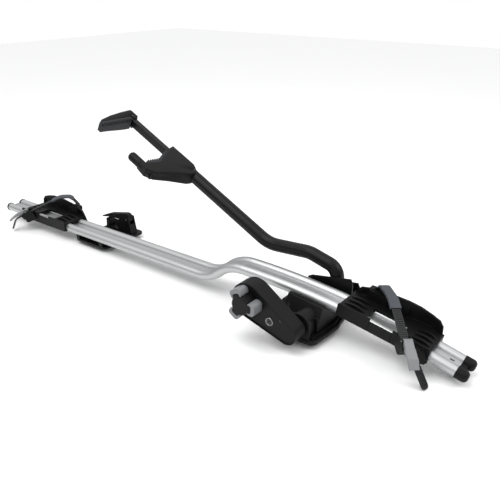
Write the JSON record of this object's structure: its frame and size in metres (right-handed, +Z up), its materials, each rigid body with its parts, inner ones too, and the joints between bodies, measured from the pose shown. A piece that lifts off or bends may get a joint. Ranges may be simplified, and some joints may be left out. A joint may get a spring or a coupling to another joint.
{
  "type": "roof mounted bike carrier",
  "caption": "Roof bike carrier: bent double-tube aluminium rail on two bar feet, folding clamp arm with knob-driven jaws, and wheel trays with ladder straps and ratchet buckles.",
  "frame": {"origin": "under the front foot, on the rail's centre plane, in the plane of the roof bars' tops", "axes": "+X to the car's front along the rail, +Y to the side away from the knob, +Z up"},
  "size_m": [1.4544, 0.284, 0.3831],
  "materials": {
    "rail_aluminium": "satin anodised",
    "black_plastic": "fine textured",
    "arm_paint": "satin powder coat",
    "soft_rubber": "matte",
    "sleeve_rubber": "matte dark blue-grey",
    "strap_plastic": "flexible, ladder toothed",
    "grey_plastic": "light grey, satin",
    "bush_nylon": "natural nylon",
    "axle_steel": "zinc plated",
    "screw_steel": "zinc plated",
    "cable_steel": "stranded",
    "bright_metal": "bright"
  },
  "bodies": {
    "frame": {"rail": "rail_aluminium", "front_end_cap": "black_plastic", "rear_end_cap": "black_plastic", "front_base": "black_plastic", "front_bar_pad": "soft_rubber", "rail_saddle": "black_plastic", "pivot_housing": "black_plastic", "near_pivot_bush": "bush_nylon", "middle_pivot_bush": "bush_nylon", "far_pivot_bush": "bush_nylon", "base_screws": "screw_steel", "front_wheel_tray": "black_plastic", "front_tray_skirt": "black_plastic", "front_tray_screws": "screw_steel", "front_strap": "strap_plastic", "front_strap_sleeve": "sleeve_rubber", "front_buckle_body": "black_plastic", "front_buckle_pin": "axle_steel"},
    "clamp_arm": {"pivot_axle": "axle_steel", "axle_end_cap": "black_plastic", "arm_hub": "arm_paint", "arm_root": "arm_paint", "arm_tube": "arm_paint", "bar_guide_bush": "bush_nylon", "knob_housing_back": "black_plastic", "knob_housing_face": "black_plastic", "housing_screws": "screw_steel", "lock_bezel": "bright_metal", "lower_jaw_top_shell": "black_plastic", "lower_jaw_bottom_shell": "black_plastic", "lower_jaw_pad": "soft_rubber", "hook_finger": "black_plastic", "finger_cap": "black_plastic", "lower_jaw_screws": "screw_steel", "jaw_tube_screw": "screw_steel", "clamp_cable": "cable_steel"},
    "upper_jaw": {"sliding_bar": "arm_paint", "bar_end_guide": "bush_nylon", "upper_jaw_shell": "black_plastic", "upper_jaw_pad": "soft_rubber", "upper_jaw_screw": "screw_steel"},
    "knob": {"knob_core": "black_plastic", "knob_grips": "grey_plastic", "knob_shaft": "axle_steel", "cable_spool": "bush_nylon"},
    "lock": {"lock_cylinder": "bright_metal"},
    "front_lever": {"front_buckle_lever": "grey_plastic"},
    "rear_tray": {"rear_wheel_tray": "black_plastic", "rear_tray_skirt": "black_plastic", "rear_tray_screws": "screw_steel", "rear_strap": "strap_plastic", "rear_strap_sleeve": "sleeve_rubber", "rear_buckle_body": "black_plastic", "rear_buckle_pin": "axle_steel"},
    "rear_lever": {"rear_buckle_lever": "grey_plastic"},
    "rear_foot": {"rear_foot": "black_plastic", "rear_bar_pad": "soft_rubber", "rear_foot_slider": "axle_steel", "cam_pin": "axle_steel"},
    "cam_lever": {"cam_lever": "black_plastic"}
  },
  "joints": [
    {"name": "arm_pivot", "type": "hinge", "parent": "frame", "child": "clamp_arm", "pos_m": [0.02, 0, 0.037], "axis": [0, 1, 0], "range_deg": [-22.6, 40]},
    {"name": "jaw_slide", "type": "slide", "parent": "clamp_arm", "child": "upper_jaw", "axis": [-0.8846, 0, 0.4664], "range_m": [-0.085, 0]},
    {"name": "knob_spin", "type": "hinge", "parent": "clamp_arm", "child": "knob", "pos_m": [-0.07563, -0.13, 0.0829], "axis": [0, 1, 0], "range_deg": [-391, 1]},
    {"name": "lock_turn", "type": "hinge", "parent": "clamp_arm", "child": "lock", "pos_m": [-0.02099, -0.134, 0.05296], "axis": [0, 1, 0], "range_deg": [0, 90]},
    {"name": "front_lever_hinge", "type": "hinge", "parent": "frame", "child": "front_lever", "pos_m": [0.23843, -0.05136, 0.06437], "axis": [-0.6459, -0.7547, 0.1149], "range_deg": [0, 65]},
    {"name": "rear_tray_slide", "type": "slide", "parent": "frame", "child": "rear_tray", "axis": [1, 0, 0], "range_m": [-0.08, 0.01]},
    {"name": "rear_lever_hinge", "type": "hinge", "parent": "rear_tray", "child": "rear_lever", "pos_m": [-0.96495, -0.05136, 0.05471], "axis": [-0.6561, 0.7547, 0], "range_deg": [0, 65]},
    {"name": "rear_foot_slide", "type": "slide", "parent": "frame", "child": "rear_foot", "axis": [1, 0, 0], "range_m": [-0.01, 0.075]},
    {"name": "cam_lever_hinge", "type": "hinge", "parent": "rear_foot", "child": "cam_lever", "pos_m": [-0.68, 0.095, 0.05], "axis": [0, 1, 0], "range_deg": [0, 100]}
  ],
  "couplings": [
    {"joint": "knob_spin", "follows": "jaw_slide", "rad_per_m": 80}
  ]
}
